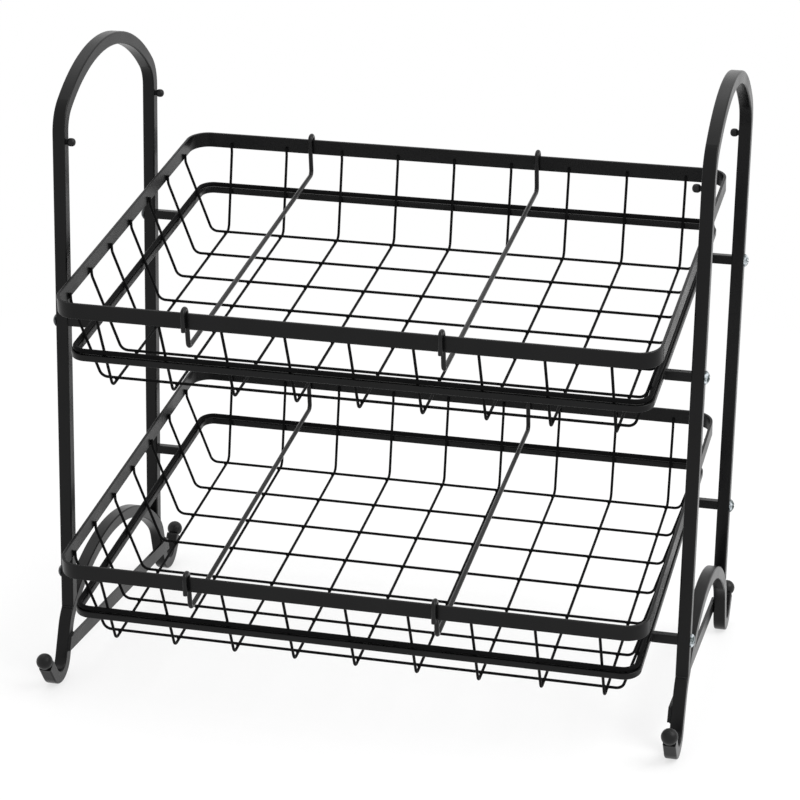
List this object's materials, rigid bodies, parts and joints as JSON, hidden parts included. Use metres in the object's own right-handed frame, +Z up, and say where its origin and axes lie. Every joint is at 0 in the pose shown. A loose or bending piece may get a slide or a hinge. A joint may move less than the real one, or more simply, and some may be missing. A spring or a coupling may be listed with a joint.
{
  "type": "tiered wire basket rack",
  "caption": "Free-standing rack of tilted wire baskets in arched side frames with scroll feet. The baskets lift off their rings, and rod dividers slide along the rims.",
  "frame": {"origin": "under the middle of the whole rack, on the surface it stands on", "axes": "+X from the left to the right side frame, +Y from the low front of the baskets to their high back, +Z up"},
  "size_m": [0.4136, 0.284, 0.4023],
  "materials": {
    "frame_coat": "satin black powder coat on steel",
    "basket_coat": "satin black powder coat on steel wire and bar",
    "zinc_plate": "bright bluish zinc plate"
  },
  "bodies": {
    "frame": {"left_side_arch": "frame_coat", "left_scroll_foot": "frame_coat", "left_foot_rail": "frame_coat", "left_foot_balls": "frame_coat", "left_hanging_pegs": "frame_coat", "right_side_arch": "frame_coat", "right_scroll_foot": "frame_coat", "right_foot_rail": "frame_coat", "right_foot_balls": "frame_coat", "right_hanging_pegs": "frame_coat", "upper_support_ring": "frame_coat", "upper_ring_stubs": "frame_coat", "upper_frame_screws": "zinc_plate", "lower_support_ring": "frame_coat", "lower_ring_stubs": "frame_coat", "lower_frame_screws": "zinc_plate"},
    "upper_basket": {"upper_basket_rim": "basket_coat", "upper_basket_hoop": "basket_coat", "upper_long_wires": "basket_coat", "upper_cross_wires": "basket_coat"},
    "upper_left_divider": {"upper_left_divider": "basket_coat"},
    "upper_right_divider": {"upper_right_divider": "basket_coat"},
    "lower_basket": {"lower_basket_rim": "basket_coat", "lower_basket_hoop": "basket_coat", "lower_long_wires": "basket_coat", "lower_cross_wires": "basket_coat"},
    "lower_left_divider": {"lower_left_divider": "basket_coat"},
    "lower_right_divider": {"lower_right_divider": "basket_coat"}
  },
  "joints": [
    {"name": "upper_basket_lift", "type": "slide", "parent": "frame", "child": "upper_basket", "axis": [0, -0.1819, 0.9833], "range_m": [0, 0.04]},
    {"name": "upper_left_divider_slide", "type": "slide", "parent": "upper_basket", "child": "upper_left_divider", "axis": [1, 0, 0], "range_m": [-0.01477, 0.01909]},
    {"name": "upper_right_divider_slide", "type": "slide", "parent": "upper_basket", "child": "upper_right_divider", "axis": [1, 0, 0], "range_m": [-0.01505, 0.01881]},
    {"name": "lower_basket_lift", "type": "slide", "parent": "frame", "child": "lower_basket", "axis": [0, -0.1819, 0.9833], "range_m": [0, 0.04]},
    {"name": "lower_left_divider_slide", "type": "slide", "parent": "lower_basket", "child": "lower_left_divider", "axis": [1, 0, 0], "range_m": [-0.01516, 0.0187]},
    {"name": "lower_right_divider_slide", "type": "slide", "parent": "lower_basket", "child": "lower_right_divider", "axis": [1, 0, 0], "range_m": [-0.01485, 0.01901]}
  ]
}
